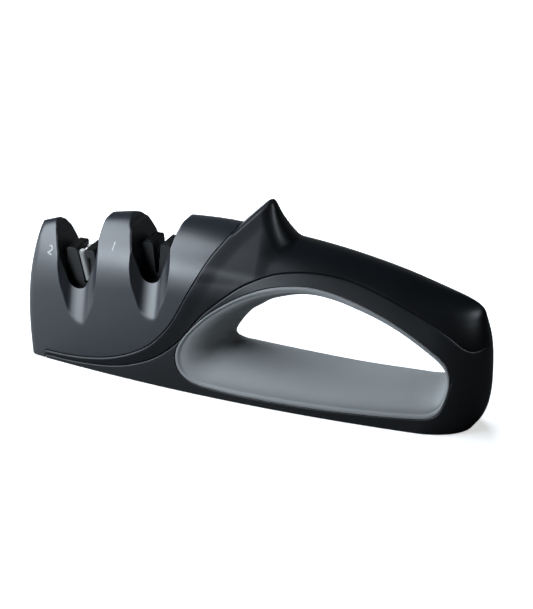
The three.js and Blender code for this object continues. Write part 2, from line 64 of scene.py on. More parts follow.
# Overall form, as in the part's own sizes
FRONT_X, REAR_X = -97.4, 97.4
HEAD_TOP = 69.2
HALF_WIDE, WIDEST_X, PLAN_RADIUS = 17.5, 13.0, 680.0
HEAD_ARCH, GRIP_ARCH = 28.0, 22.0
GRIP_START, GRIP_FULL = -12.0, 28.0
REAR_ROUND, REAR_POWER = 20.0, 2.3
FRONT_ROUND, FRONT_POWER = 5.0, 3.0
BASE_Z = 0.1
NOSE_X = FRONT_X + 9.2
NOSE_Z = BASE_Z + 0.3
SEAM_GAP = 0.2
HORN_X, HORN_LONG, HORN_RISE = -5.0, 29.0, 12.0
HORN_HALF, HORN_TAPER, HORN_REAR_TAPER = 2.7, 0.48, 0.3
HORN_EDGE, HORN_FRONT_EDGE, HORN_FOOT, HORN_BLEND = 6.0, 1.6, 57.0, 1.5
HORN_TIP = HORN_X + 12.7
HORN_DROOP, HORN_EDGE_POWER = 0.05, 2.2
HORN_TURN = (HORN_X + 11, HORN_X + 27)
HORN_FADE = (HORN_X + HORN_LONG - 6, HORN_X + HORN_LONG + 8)
PROUD, PROUD_WIDE = 0.4, 7.0
ROD_RADIUS, ROD_TIP, ROD_OFF_Y, ROD_ARM_TOP = 1.8, 0.9, 3.0, 49.6
ROD_TOP, ROD_END = (1.0, 1.2), (1.8, 14.4)
ARM_HALF_DEEP, INSERT_FIT, ARM_CHAMFER = 5.5, 0.3, 0.8
BROKEN_EDGE = 0.2
PADS = {
    "front": {"x": -64.1, "long": 4.2, "wide": 9.0},
    "rear": {"x": 54.0, "long": 24.0, "wide": 7.0},
}
PAD_HIGH, PAD_CORNER = 1.5, 4.0
SLOT_HALF, SLOT_DEEP, SLOT_BULGE, SLOT_CORNER = 10.6, 30.0, 1.65, 2.6
SLOT_ROUND, SLOT_BLEND = 4.0, 2.0
POCKET_HALF = 6.6
POCKET_UNDER = 3.0
LIP, LIP_STEP, LINER_GAP, LINER_WALL = 2.0, 0.45, 0.05, 2.0
STAGES = {
    "fine": {"x": FRONT_X + 24.9, "tip": 20.3, "rim": 33.7, "wall": 3.2},
    "coarse": {"x": FRONT_X + 58.5, "tip": 29.1, "rim": 43.0, "wall": 3.7},
}

# Printed numerals on the near flank: text, place in the side view, lean in degrees
NUMERALS = (("2", (-84.6, 48.3), 19), ("1", (-55.0, 55.5), 13))
NUMERAL_THICK, CAPITAL_SHARE = 0.12, 0.7

# Grid columns up each flank, and the distance between sections
HEAD_COLUMNS, SHELL_COLUMNS, BASE_COLUMNS = 96, 84, 52
HEAD_STEP, SHELL_STEP, HORN_STEP = 0.55, 0.7, 0.3

# Tint clouds on the mouldings
CLOUD_MM = 26.0

# The photograph's frame in pixels, and the camera that was fitted to it
PHOTO_WIDE, PHOTO_HIGH = 533, 609
SENSOR_MM = 36.0
FOCAL_PX = 2000.0
VIEW_AZIMUTH, VIEW_ELEVATION = 22.0, 25.0
VIEW_DISTANCE = 800.0
VIEW_SHIFT_RIGHT, VIEW_SHIFT_UP = 5.0, 32.1


def line_through(points):
    """A smooth line v(u) through a few points: cubic pieces with slopes from their neighbours, level beyond."""
    u, v = np.array(points, float).T
    before, after = np.maximum(np.arange(len(u)) - 1, 0), np.minimum(np.arange(len(u)) + 1, len(u) - 1)
    slope = (v[after] - v[before]) / (u[after] - u[before])

    def line(x):
        """Value of the line at x."""
        x = np.asarray(x, float)
        i = np.clip(np.searchsorted(u, x, side="left") - 1, 0, len(u) - 2)
        h = u[i + 1] - u[i]
        t = np.clip((x - u[i]) / h, 0, 1)
        s = 1 - t
        ends = v[i] * s * s * (1 + 2 * t) + v[i + 1] * t * t * (3 - 2 * t)
        return ends + h * t * s * (slope[i] * s - slope[i + 1] * t)

    return line


def from_origin(origin, points):
    """Points placed from an origin."""
    return np.array(origin, float) + np.array(points, float)


back_line = line_through(from_origin((0, HEAD_TOP), [
    (-97.4, -14.2), (-82, -9.1), (-62, -4.4), (-48, -2), (-27, -0.3), (-8, 0), (20, -2.6), (39, -5),
    (59, -8.8), (75, -12.9), (89, -16.4), (98.4, -20.5),
]))
front_line = line_through(from_origin((0, FRONT_X), [
    (0, 0.6), (14, 0), (25, 0.3), (37, 1.6), (46, 3.2), (56, 5.7), (60, 7.7),
]))
rear_line = line_through(from_origin((0, REAR_X), [
    (0, -6.4), (6, -2.4), (14, -0.4), (25, 0), (37, -0.8), (46, -2.9), (50, -4.3), (54, -8.5),
]))
horn_line = line_through(from_origin((HORN_X, HEAD_TOP + HORN_RISE), [
    (0, -HORN_RISE), (10.4, -1.6), (HORN_TIP - HORN_X, 0), (14.4, -1.4), (17.2, -7), (21.6, -12.8),
    (HORN_LONG, -HORN_RISE - HORN_EDGE),
]))
tray_top = line_through([
    (NOSE_X, 3.9), (-76, 4.6), (-66.5, 5.9), (-57, 8.2), (-47.5, 12.1), (-38.2, 18.1),
    (-29.1, 28.7), (-20.4, 44.7), (-12.6, 58.7), (HORN_X, HEAD_TOP),
])
tray_under = line_through([
    (NOSE_X, 1.9), (-71.4, 2.6), (-54.7, 5), (-42.9, 9.1), (-33.7, 14.5), (-24.7, 22.9), (-15.9, 34.5),
    (-7.5, 42.7), (0.7, 49.6), (8.7, 54.3), (16.7, 57.3), (28.5, 58.9), (40.3, 58.3), (52.2, 55.6),
    (64.1, 51.3), (75.9, 46.2), (84, 41.4), (89, 37.4), (92, 35.9), (95, 36.2), (99.4, 37.5),
])
LINER_EDGE = [
    (-27, 14.6), (-25, 21.4), (-16, 32.7), (-7.4, 40.1), (3, 47), (15, 52), (29, 53.9), (43, 51.8), (61.4, 45.2),
    (75.6, 37), (83, 30.6), (84.8, 23.5), (82.9, 13.8), (80.4, 9.2), (77, 7.1), (66, 5.7), (42, 4.2), (18, 3.5),
    (-8, 3.8), (-20.5, 5.4), (-25.3, 8.8),
]
LOOP_THROAT = [
    (-8.5, 21), (-5.5, 27), (1, 35), (7, 39.5), (12, 43), (19, 46), (28.5, 49), (43, 48.5), (59.5, 43.5),
    (73, 36), (81, 29.5), (83, 25.5), (81.5, 20.5), (79, 18.5), (73, 17.5), (65, 17), (42.5, 16), (18, 16.5),
    (0, 17.5), (-5.5, 18), (-8, 19),
]


def slope_of(line, x, step=0.02):
    """Slope of a line by a central difference."""
    return (line(x + step) - line(x - step)) / (2 * step)


def shifted_line(line, gap):
    """A line moved along its normal by gap, as a height: gap times the length of its slope vector is added."""
    return lambda x: line(x) + gap * np.hypot(1, slope_of(line, x))


def rise(t, power):
    """Rounding that climbs from 0 to 1: (1 - (1 - t)^p)^(1/p)."""
    return (1 - (1 - np.clip(t, 0, 1)) ** power) ** (1 / power)


def smoothstep(x, low, high):
    """Cubic step from 0 at low to 1 at high."""
    t = np.clip((x - low) / (high - low), 0, 1)
    return t * t * (3 - 2 * t)


def body_half(x, z):
    """Half width of the body: plan arc times an elliptic arch below the back times the rounded ends."""
    plan = HALF_WIDE - (x - WIDEST_X) ** 2 / (2 * PLAN_RADIUS)
    arch = HEAD_ARCH + (GRIP_ARCH - HEAD_ARCH) * smoothstep(x, GRIP_START, GRIP_FULL)
    rear = rise((rear_line(z) - x) / REAR_ROUND, REAR_POWER)
    front = rise((x - front_line(z)) / FRONT_ROUND, FRONT_POWER)
    return plan * rise((back_line(x) - z) / arch, 2) * rear * front


def eased(distance, radius):
    """How far a rounded edge lies back at a distance from it: r - sqrt(r^2 - (r - d)^2)."""
    reach = np.clip(radius - distance, 0, radius)
    return radius - np.sqrt(radius * radius - reach * reach)


def soft_min(a, b, width):
    """The smaller of two heights, with the corner rounded over a width."""
    h = np.clip(0.5 + 0.5 * (b - a) / width, 0, 1)
    return b + (a - b) * h - width * h * (1 - h)


def distance_to(x, z, outline):
    """Distance in the side view from each point to the nearest segment of an outline, in blocks."""
    start, step = outline[:-1], np.diff(outline, axis=0)
    keep = (step ** 2).sum(1) > 1e-12
    start, step = start[keep], step[keep]
    length = (step ** 2).sum(1)
    flat = np.stack([x.ravel(), z.ravel()], -1)
    found = np.empty(len(flat))
    for at in range(0, len(flat), 4000):
        away = flat[at:at + 4000, None] - start
        t = np.clip((away * step).sum(-1) / length, 0, 1)
        found[at:at + 4000] = np.sqrt(((away - t[..., None] * step) ** 2).sum(-1).min(1))
    return found.reshape(x.shape)


def horn_half(x, z):
    """Half thickness of the horn: a taper downwards, less behind, times its edges.

    The edge is crisp in front and round behind, and follows the distances to the horn's front and
    back lines. Below its foot the horn droops with the square of the depth, so that it dips under
    the flank.
    """
    front, back = np.linspace(HORN_X - 1, HORN_TIP, 40), np.linspace(HORN_TIP, HORN_X + HORN_LONG, 60)
    from_front = distance_to(x, z, np.stack([front, horn_line(front)], -1))
    from_back = distance_to(x, z, np.stack([back, horn_line(back)], -1))
    taper = HORN_TAPER + (HORN_REAR_TAPER - HORN_TAPER) * smoothstep(x, *HORN_TURN)
    droop = HORN_DROOP * np.clip(HORN_FOOT - z, 0, None) ** 2
    thick = HORN_HALF + taper * np.clip(HEAD_TOP + HORN_RISE - z, 0, None) - droop
    edge = rise(from_front / HORN_FRONT_EDGE, HORN_EDGE_POWER) * rise(from_back / HORN_EDGE, HORN_EDGE_POWER)
    rear = 1 - smoothstep(x, *HORN_FADE)
    return np.where(z < horn_line(x), np.maximum(thick, 0) * edge * rear, 0)


def shell_half(x, z):
    """Half width of the upper shell: the wider of flank and horn, with a soft hollow between them."""
    flank, horn = body_half(x, z), horn_half(x, z)
    return -soft_min(-flank, -horn, np.minimum(HORN_BLEND, np.maximum(flank, horn)) + 1e-6)


def closed_curve(points, per_side):
    """A closed centripetal curve through points, per_side steps between each two."""
    p = np.array(points, float)
    p0, p1, p2, p3 = (np.roll(p, k, axis=0)[:, None] for k in (1, 0, -1, -2))
    d0, d1, d2 = (np.sqrt(np.linalg.norm(b - a, axis=-1))[..., None] for a, b in ((p0, p1), (p1, p2), (p2, p3)))
    m1 = ((p1 - p0) / d0 - (p2 - p0) / (d0 + d1) + (p2 - p1) / d1) * d1
    m2 = ((p2 - p1) / d1 - (p3 - p1) / (d1 + d2) + (p3 - p2) / d2) * d1
    t = (np.arange(per_side) / per_side)[None, :, None]
    curve = p1 + m1 * t + (3 * (p2 - p1) - 2 * m1 - m2) * t ** 2 + (2 * (p1 - p2) + m1 + m2) * t ** 3
    return curve.reshape(-1, 2)


def ring_faces(rows, columns):
    """Quads of a row of closed rings, the last column joined to the first."""
    i, j = np.meshgrid(np.arange(rows - 1), np.arange(columns), indexing="ij")
    k = (j + 1) % columns
    return np.stack([i * columns + j, (i + 1) * columns + j, (i + 1) * columns + k, i * columns + k], -1).reshape(-1, 4)


def single(faces):
    """Faces that no other face lies on."""
    _, index, count = np.unique(np.sort(faces, axis=1), axis=0, return_inverse=True, return_counts=True)
    return faces[count[index.reshape(-1)] == 1]


def welded(points, quads):
    """Merge points that coincide, turn quads with a doubled corner into triangles and drop flat or paired faces."""
    keys = np.round(points / 1e-4).astype(np.int64)
    _, first, index = np.unique(keys, axis=0, return_index=True, return_inverse=True)
    quads = index.reshape(-1)[quads]
    folded = (quads[:, 0] == quads[:, 2]) | (quads[:, 1] == quads[:, 3])
    doubled = quads == np.roll(quads, -1, axis=1)
    full = quads[~folded & ~doubled.any(1)]
    thin = ~folded & (doubled.sum(1) == 1)
    triangles = quads[thin][~doubled[thin]].reshape(-1, 3)
    full, triangles = single(full), single(triangles)
    used, corners = np.unique(np.concatenate([full.ravel(), triangles.ravel()]), return_inverse=True)
    fours, threes = np.split(corners, [full.size])
    return points[first][used], fours.reshape(-1, 4).tolist() + threes.reshape(-1, 3).tolist()


def make_piece(name, points, faces, material, stands_for, sharp_degrees=32):
    """A welded mesh in metres, turned outwards, riding on the body in place of its solid."""
    points, faces = welded(points, faces)
    mesh = bpy.data.meshes.new(name)
    mesh.from_pydata((points * MM).tolist(), [], faces)
    mesh.validate()
    piece = bpy.data.objects.new(name, mesh)
    bpy.context.scene.collection.objects.link(piece)
    turn_outwards(mesh)
    mesh.shade_smooth()
    mesh.set_sharp_from_angle(angle=math.radians(sharp_degrees))
    mesh.materials.append(material)
    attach(piece, BODY)
    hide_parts(stands_for)
    return piece


def turn_outwards(mesh):
    """Flip all faces when the volume they enclose is negative."""
    mesh.calc_loop_triangles()
    corners = np.empty(len(mesh.loop_triangles) * 3, np.int32)
    mesh.loop_triangles.foreach_get("vertices", corners)
    places = np.empty(len(mesh.vertices) * 3)
    mesh.vertices.foreach_get("co", places)
    a, b, c = np.moveaxis(places.reshape(-1, 3)[corners.reshape(-1, 3)], 1, 0)
    if (a * np.cross(b, c)).sum() < 0:
        mesh.flip_normals()


def columns_between(stations, count, low, high, front_pull, rear_pull, least=None):
    """Grid points of a flank: columns from low(x) to high(x), drawn towards the bowed ends near the front and rear.

    Points under least(x) are lifted onto it, which keeps a sudden step in it out of the rest of the columns.
    """
    level = 0.5 * (1 - np.cos(np.pi * np.arange(count + 1) / count))
    pull_front = np.clip(1 - (stations - FRONT_X) / front_pull, 0, 1)[:, None] if front_pull else 0.0
    pull_rear = np.clip(1 - (REAR_X - stations) / rear_pull, 0, 1)[:, None] if rear_pull else 0.0
    x = np.repeat(stations[:, None], count + 1, axis=1)
    z = low(x) + level * (high(x) - low(x))
    for _ in range(30):
        x = stations[:, None] + pull_front * (front_line(z) - FRONT_X) + pull_rear * (rear_line(z) - REAR_X)
        z = low(x) + level * (high(x) - low(x))
    return x, z if least is None else np.maximum(z, least(x))


def even_stations(x0, x1, step, line):
    """Places between x0 and x1 about a step apart along a line, so that steep stretches get enough of them."""
    x = np.linspace(x0, x1, 12000)
    along = np.concatenate([[0], np.cumsum(np.hypot(np.diff(x), np.diff(line(x))))])
    return np.interp(np.linspace(0, along[-1], int(along[-1] / step) + 1), along, x)


def end_stations(x_end, x_inner, count):
    """Places that crowd towards a rounded end."""
    return x_end + (x_inner - x_end) * (1 - np.cos(np.linspace(0, np.pi / 2, count)))


def loop_section(x, y, z, top_points):
    """Closed sections from a flank grid: up the near side, over the top points, down the far side."""
    near = np.stack([x, -y, z], -1)
    far = np.stack([x, y, z], -1)[:, ::-1]
    return np.concatenate([near, top_points, far], axis=1)


def sections_to_piece(sections, capped):
    """Points and quads of a row of closed sections; a cap joins the near and far sides of the first one."""
    rows, columns = sections.shape[:2]
    faces = ring_faces(rows, columns)
    if capped:
        j = np.arange(columns // 2 - 1)
        cap = np.stack([j, j + 1, columns - 2 - j, columns - 1 - j], -1)
        faces = np.concatenate([faces, cap])
    return sections.reshape(-1, 3), faces


def slot_profile(stage, side):
    """Outline of one slot wall from its floor to the back: half widths and heights that both grow."""
    r = np.linspace(0, 1, 40) ** 2 * 20
    wide, round_floor = SLOT_HALF * rise(r / SLOT_DEEP, SLOT_BULGE), SLOT_ROUND * rise(r / SLOT_ROUND, 2)
    half = -soft_min(-wide, -round_floor, np.minimum(SLOT_BLEND, 2 * r) + 1e-6)
    corner = back_line(stage["x"] + side * (SLOT_HALF + SLOT_CORNER)) - SLOT_CORNER
    a = np.linspace(0, np.pi / 2, 16)
    half = np.concatenate([half, SLOT_HALF + SLOT_CORNER * (1 - np.cos(a))])
    height = np.concatenate([stage["rim"] + r, corner + SLOT_CORNER * np.sin(a)])
    return half, height


def slot_outline(stage, x):
    """Height of the slot's outline at x, and far above beyond its corners."""
    away = x - stage["x"]
    left, right = slot_profile(stage, -1), slot_profile(stage, 1)
    height = np.where(away < 0, np.interp(-away, *left), np.interp(away, *right))
    return np.where(np.abs(away) < SLOT_HALF + SLOT_CORNER, height, 1e3)


def rim_half(stage):
    """Where the pocket ends in Y: one wall inside the flank at the spoon's tip."""
    return float(body_half(stage["x"], stage["tip"])) - stage["wall"]


def head_top(x):
    """Upper outline of the head: the back, let down into the two slots."""
    top = back_line(x)
    for stage in STAGES.values():
        top = np.minimum(top, slot_outline(stage, x))
    return top


head_seam = shifted_line(tray_top, SEAM_GAP)


def head_low(x):
    """Lower outline of the head: the nose's underside, then the seam on the tray."""
    return np.where(x < NOSE_X - SEAM_GAP, NOSE_Z, head_seam(np.maximum(x, NOSE_X)))


def head_guide(x):
    """A line from the nose's underside over to the seam, without the step at the tray's end."""
    return NOSE_Z + (head_seam(np.maximum(x, NOSE_X)) - NOSE_Z) * smoothstep(x, NOSE_X - SEAM_GAP, NOSE_X + 12)


def head_half(x, z, edge):
    """Half width of the head: the flank with eased seam and slot edges, scooped out by the two spoons.

    A spoon is the slot's outline let down with distance beyond the pocket's rim, so at (x, z) it
    lies at rim + (outline(x) - z) * wall / (rim height - tip height).
    """
    span = np.linspace(FRONT_X, HORN_X, 6000)
    seam = np.stack([span, head_low(span)], -1)
    mouth = np.linspace(FRONT_X, HORN_X, 9000)
    half = body_half(x, z) - eased(distance_to(x, z, seam[::8]), 0.4 * edge)
    in_slot = np.zeros(x.shape, bool)
    for stage in STAGES.values():
        in_slot |= np.abs(x - stage["x"]) < SLOT_HALF + 0.6 * SLOT_CORNER
    rim = np.stack([mouth, head_top(mouth)], -1)[::6]
    half = np.where(in_slot, half - eased(distance_to(x, z, rim), 1.4 * edge), half)
    for stage in STAGES.values():
        dive = stage["wall"] / (stage["rim"] - stage["tip"])
        spoon = rim_half(stage) + np.maximum(slot_outline(stage, x) - z, 0) * dive
        half = soft_min(half, spoon, 0.5 * edge)
    return np.maximum(half, 0)


def head_shape(edge):
    """The head: closed sections along X, open into the pockets where the cartridges sit."""
    end = brink(lambda x: head_top(x) - head_low(x), HORN_X - 6, HORN_X)
    jumps = [NOSE_X - SEAM_GAP]
    for stage in STAGES.values():
        jumps += [stage["x"] - POCKET_HALF, stage["x"] + POCKET_HALF]
    twins = np.concatenate([[j - 0.03, j + 0.03] for j in jumps])
    stations = np.concatenate([
        end_stations(FRONT_X, FRONT_X + 9, 26), even_stations(FRONT_X + 9, end, HEAD_STEP, head_top), twins, [end],
    ])
    stations = np.unique(stations)
    x, z = columns_between(stations, HEAD_COLUMNS, head_guide, head_top, 12.0, None, head_low)
    y = head_half(x, z, edge)
    y[0] = 0
    top_x, top_y, top_z = x[:, -1], y[:, -1], z[:, -1]
    inner_y, inner_z = top_y / 3, top_z.copy()
    for stage in STAGES.values():
        inside = np.abs(top_x - stage["x"]) < POCKET_HALF
        inner_y[inside] = top_y[inside]
        inner_z[inside] = stage["rim"] - POCKET_UNDER
    strip = np.stack([
        np.stack([top_x, -inner_y, inner_z], -1), np.stack([top_x, inner_y, inner_z], -1),
    ], axis=1)
    return sections_to_piece(loop_section(x, y, z, strip), False)


def brink(gap, low, high):
    """Where a gap that shrinks with x has all but closed, by halving."""
    for _ in range(50):
        middle = (low + high) / 2
        low, high = (middle, high) if gap(np.array(middle)) > 0.02 else (low, middle)
    return low


def shell_top(x):
    """Upper outline of the shell: the tray's top under the head, then the back and the horn."""
    horn = np.where((x > HORN_X) & (x < HORN_X + HORN_LONG), horn_line(x), 0)
    return np.where(x < HORN_X, tray_top(x), np.maximum(back_line(x), horn))


def shell_shape(edge):
    """The upper shell: tray, horn and handle top as closed sections along X."""
    stations = np.unique(np.concatenate([
        even_stations(NOSE_X, HORN_X, SHELL_STEP, tray_top), np.arange(HORN_X, HORN_X + HORN_LONG, HORN_STEP),
        even_stations(HORN_X + HORN_LONG, REAR_X - 22, SHELL_STEP, back_line), end_stations(REAR_X, REAR_X - 22, 56),
    ]))
    x, z = columns_between(stations, SHELL_COLUMNS, tray_under, shell_top, None, 40.0)
    span = np.linspace(NOSE_X - 2, REAR_X + 4, 900)
    upper = np.linspace(NOSE_X - 2, HORN_X + 12.5, 600)
    front = np.stack([upper, np.where(upper < HORN_X, tray_top(upper), horn_line(upper))], -1)
    above = distance_to(x, z, np.stack([span, tray_under(span)], -1))
    behind = distance_to(x, z, front)
    y = shell_half(x, z) - eased(above, edge)
    y = y + PROUD * (1 - smoothstep(behind, 0, PROUD_WIDE)) - eased(behind, 1.6 * edge)
    y = np.maximum(y, 0)
    y[-1] = 0
    return sections_to_piece(loop_section(x, y, z, np.empty((len(stations), 0, 3))), True)


def hole_lines():
    """Lower and upper outline of the liner's pocket as heights over x, with its two ends."""
    edge = closed_curve(LINER_EDGE, 120)
    left, right = int(edge[:, 0].argmin()), int(edge[:, 0].argmax())
    upper = edge[left:right + 1] if left < right else np.concatenate([edge[left:], edge[:right + 1]])
    lower = np.concatenate([edge[right:], edge[:left + 1]])[::-1] if left < right else edge[right:left + 1][::-1]
    return upper, lower


def lower_shape(edge):
    """The lower body: a strip under the pocket and one over it, which meet in front of it and behind it."""
    upper, lower = hole_lines()
    seam = shifted_line(tray_under, -SEAM_GAP)
    (x_left, z_left), (x_right, z_right) = upper[0], upper[-1]

    def middle(x):
        """Height at which the two strips meet."""
        share_left = (z_left - BASE_Z) / (seam(np.array(x_left)) - BASE_Z)
        share_right = (z_right - BASE_Z) / (seam(np.array(x_right)) - BASE_Z)
        return BASE_Z + (seam(x) - BASE_Z) * np.where(x < WIDEST_X, share_left, share_right)

    def hole(branch):
        """A strip's edge: a branch of the pocket's outline, and the meeting height beyond its ends."""
        inside = lambda x: np.interp(x, branch[:, 0], branch[:, 1])
        return lambda x: np.where((x > x_left) & (x < x_right), inside(x), middle(x))

    stations = np.unique(np.concatenate([
        np.arange(NOSE_X, x_left, SHELL_STEP), even_stations(x_left, x_right, SHELL_STEP, hole(lower)),
        even_stations(x_left, x_right, 1.0, hole(upper)), np.arange(x_right, REAR_X - 11, SHELL_STEP),
        end_stations(REAR_X, REAR_X - 11, 30), [x_left, x_right],
    ]))
    stations = stations[np.concatenate([[True], np.diff(stations) > 0.02])]
    span = np.linspace(NOSE_X - 2, REAR_X + 4, 900)
    edges = np.stack([span, seam(span)], -1)
    pocket = np.concatenate([upper, lower[::-1]])[::4]
    base = lambda x: np.full(np.shape(x), BASE_Z)
    strips = []
    for low, high in ((base, hole(lower)), (hole(upper), seam)):
        x, z = columns_between(stations, BASE_COLUMNS, low, high, None, 11.0)
        y = body_half(x, z) - eased(distance_to(x, z, edges), edge) - eased(distance_to(x, z, pocket), edge)
        y = np.maximum(y - eased(z - BASE_Z, edge), 0)
        y[-1] = 0
        strips.append(np.stack([x, y, z]))
    whole = (stations <= x_left) | (stations >= x_right)
    strips[1][:, whole, 0] = strips[0][:, whole, -1]
    pieces = [sections_to_piece(loop_section(*strip, np.empty((len(stations), 0, 3))), True) for strip in strips]
    (points, faces), (more, upper_faces) = pieces
    return np.concatenate([points, more]), np.concatenate([faces, upper_faces + len(points)])


def liner_shape(edge):
    """The liner: one closed section carried round the loop.

    From the mid-plane out, the section is a quarter ellipse from the throat to the lip, a low bead
    that comes up to the flank, an eased edge, and the wall in the pocket.
    """
    outer, throat = closed_curve(LINER_EDGE, 24), closed_curve(LOOP_THROAT, 24)
    way = throat - outer
    long = np.linalg.norm(way, axis=1, keepdims=True)
    inward = way / long
    rim = outer + inward * LINER_GAP
    lip = outer + way * np.minimum(LIP / long, 0.7)
    reach = body_half(lip[:, 0], lip[:, 1]) - LIP_STEP
    rows = []
    for turn in np.linspace(0, np.pi / 2, 30):
        place = throat + (lip - throat) * (1 - np.cos(turn))
        rows.append((place, reach * np.sin(turn)))
    for share in np.linspace(0, 1, 17)[1:]:
        place = lip + (rim - lip) * share
        sunk = LIP_STEP * (1 - math.sin(min(share / 0.7, 1) * np.pi / 2))
        back = eased(np.linalg.norm(place - rim, axis=1), 0.5 * edge)
        rows.append((place, body_half(place[:, 0], place[:, 1]) - sunk - back))
    rows.append((rim, rows[-1][1] - LINER_WALL))
    near = [np.stack([p[:, 0], -y, p[:, 1]], -1) for p, y in rows]
    far = [np.stack([p[:, 0], y, p[:, 1]], -1) for p, y in rows[1:]]
    section = np.stack(near[::-1] + far, axis=1)
    return sections_to_piece(np.concatenate([section, section[:1]]), False)


def pad_shape(pad, edge):
    """A pad: a rounded rectangle stacked in rings, drawn in at its lower rim."""
    a = np.linspace(0, 2 * np.pi, 96, endpoint=False)
    core = np.array([pad["long"] - PAD_CORNER, pad["wide"] - PAD_CORNER])
    way = np.stack([np.cos(a), np.sin(a)], -1)
    heights = np.concatenate([np.linspace(0, edge, 7), [PAD_HIGH]])
    rings = [np.sign(np.round(way, 9)) * core + way * (PAD_CORNER - eased(z, edge)) for z in heights]
    sections = np.stack([
        np.column_stack([ring + [pad["x"], 0], np.full(len(a), z)]) for ring, z in zip(rings, heights)
    ])
    points, faces = sections_to_piece(sections, False)
    low = np.arange(len(a) // 2 - 1)
    cap = np.stack([low, low + 1, len(a) - 2 - low, len(a) - 1 - low], -1)
    return points, np.concatenate([faces, cap, cap[:, ::-1] + len(a) * (len(heights) - 1)])


def rod_shape(side):
    """A rod: a round profile turned about its leaning axis, with rounded ends; side is 1 for the left one."""
    x = STAGES["fine"]["x"]
    low = np.array([x + side * ROD_END[0], -side * ROD_OFF_Y, ROD_ARM_TOP - ROD_END[1]])
    high = np.array([x - side * ROD_TOP[0], -side * ROD_OFF_Y, ROD_ARM_TOP - ROD_TOP[1]])
    long = np.linalg.norm(high - low)
    along = (high - low) / long
    across = np.array([0.0, 1.0, 0.0])
    aside = np.cross(along, across)
    b = np.linspace(0, np.pi / 2, 9)
    way = np.concatenate([ROD_TIP * (1 - np.cos(b)), np.linspace(ROD_TIP, long - ROD_TIP, 12)[1:-1],
                          long - ROD_TIP * (1 - np.cos(b[::-1]))])
    radius = np.concatenate([ROD_RADIUS * np.sin(b), np.full(10, ROD_RADIUS), ROD_RADIUS * np.sin(b[::-1])])
    a = np.linspace(0, 2 * np.pi, 48, endpoint=False)
    ring = np.cos(a)[:, None] * across + np.sin(a)[:, None] * aside
    return sections_to_piece(low + way[:, None, None] * along + radius[:, None, None] * ring, False)


def insert_shape():
    """The fine insert: a block under the rim and two half-deep arm prisms, each with room for the other's rod."""
    fine = STAGES["fine"]
    half, deep, top = POCKET_HALF - INSERT_FIT, rim_half(fine) - INSERT_FIT, ROD_ARM_TOP
    root, ledge, low = fine["rim"] - 6, fine["rim"] - 0.5, fine["rim"] - 14
    arms = np.array([
        (-half, root), (-half, top - ARM_CHAMFER), (ARM_CHAMFER - half, top),
        (-2.1, top), (-1.7, top - 0.4), (-1.25, top - 1.4),
        (1.6, top - 14.6), (4.2, top - 14.6), (4.2, top - 3.8), (1.7, top - 3.2), (1.7, top - 0.4), (2.1, top),
        (half - ARM_CHAMFER, top), (half, top - ARM_CHAMFER), (half, root),
    ])
    block = np.array([(-half, low), (-half, ledge), (half, ledge), (half, low)])
    points, faces = [], []
    prisms = ((arms, -ARM_HALF_DEEP, -0.01), (arms * [-1, 1], 0.01, ARM_HALF_DEEP), (block, -deep, deep))
    for outline, y0, y1 in prisms:
        count, start = len(outline), sum(map(len, points))
        x, z = outline[:, 0] + fine["x"], outline[:, 1]
        near, far = (np.column_stack([x, np.full(count, y), z]) for y in (y0, y1))
        points += [near, far]
        ring = np.arange(count)
        after = (ring + 1) % count
        faces += [(ring + start).tolist(), (ring[::-1] + start + count).tolist()]
        faces += (np.stack([ring, ring + count, after + count, after], -1) + start).tolist()
    return np.concatenate(points), faces


def insert_piece(material):
    """The fine insert with broken edges, in place of its solid."""
    points, faces = insert_shape()
    mesh = bpy.data.meshes.new("fine_insert")
    mesh.from_pydata((points * MM).tolist(), [], faces)
    work = bmesh.new()
    work.from_mesh(mesh)
    bmesh.ops.recalc_face_normals(work, faces=work.faces)
    work.to_mesh(mesh)
    work.free()
    mesh.materials.append(material)
    piece = bpy.data.objects.new("fine_insert", mesh)
    bpy.context.scene.collection.objects.link(piece)
    break_edges(piece)
    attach(piece, BODY)
    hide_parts("fine_cartridge")


def break_edges(piece):
    """A narrow rounding on every sharp edge."""
    bevel = piece.modifiers.new("broken_edges", "BEVEL")
    bevel.width, bevel.segments, bevel.angle_limit = BROKEN_EDGE * MM, 2, math.radians(40)


def numeral_piece(text, place, lean, high, material):
    """A printed numeral on the near flank: a thin glyph that leans with the tower, bent onto the flank."""
    curve = bpy.data.curves.new("numeral", "FONT")
    curve.body, curve.size, curve.extrude = text, high / CAPITAL_SHARE, NUMERAL_THICK
    curve.align_x, curve.align_y = "CENTER", "CENTER"
    holder = bpy.data.objects.new("numeral", curve)
    bpy.context.scene.collection.objects.link(holder)
    mesh = bpy.data.meshes.new_from_object(holder.evaluated_get(bpy.context.evaluated_depsgraph_get()))
    bpy.data.objects.remove(holder)
    bpy.data.curves.remove(curve)
    work = bmesh.new()
    work.from_mesh(mesh)
    bmesh.ops.remove_doubles(work, verts=work.verts, dist=1e-4)
    work.to_mesh(mesh)
    work.free()
    flat = np.empty(len(mesh.vertices) * 3)
    mesh.vertices.foreach_get("co", flat)
    u, v, w = flat.reshape(-1, 3).T
    x = place[0] + u * math.cos(lean) + v * math.sin(lean)
    z = place[1] - u * math.sin(lean) + v * math.cos(lean)
    points = np.stack([x, -body_half(x, z) - w, z], -1) * MM
    mesh.vertices.foreach_set("co", points.ravel())
    turn_outwards(mesh)
    piece = bpy.data.objects.new("numeral_" + text, mesh)
    bpy.context.scene.collection.objects.link(piece)
    mesh.materials.clear()
    mesh.materials.append(material)
    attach(piece, BODY)


def linear(hex_colour):
    """Linear colour from an sRGB hex value."""
    parts = [int(hex_colour[i:i + 2], 16) / 255 for i in (1, 3, 5)]
    return [c / 12.92 if c <= 0.04045 else ((c + 0.055) / 1.055) ** 2.4 for c in parts]


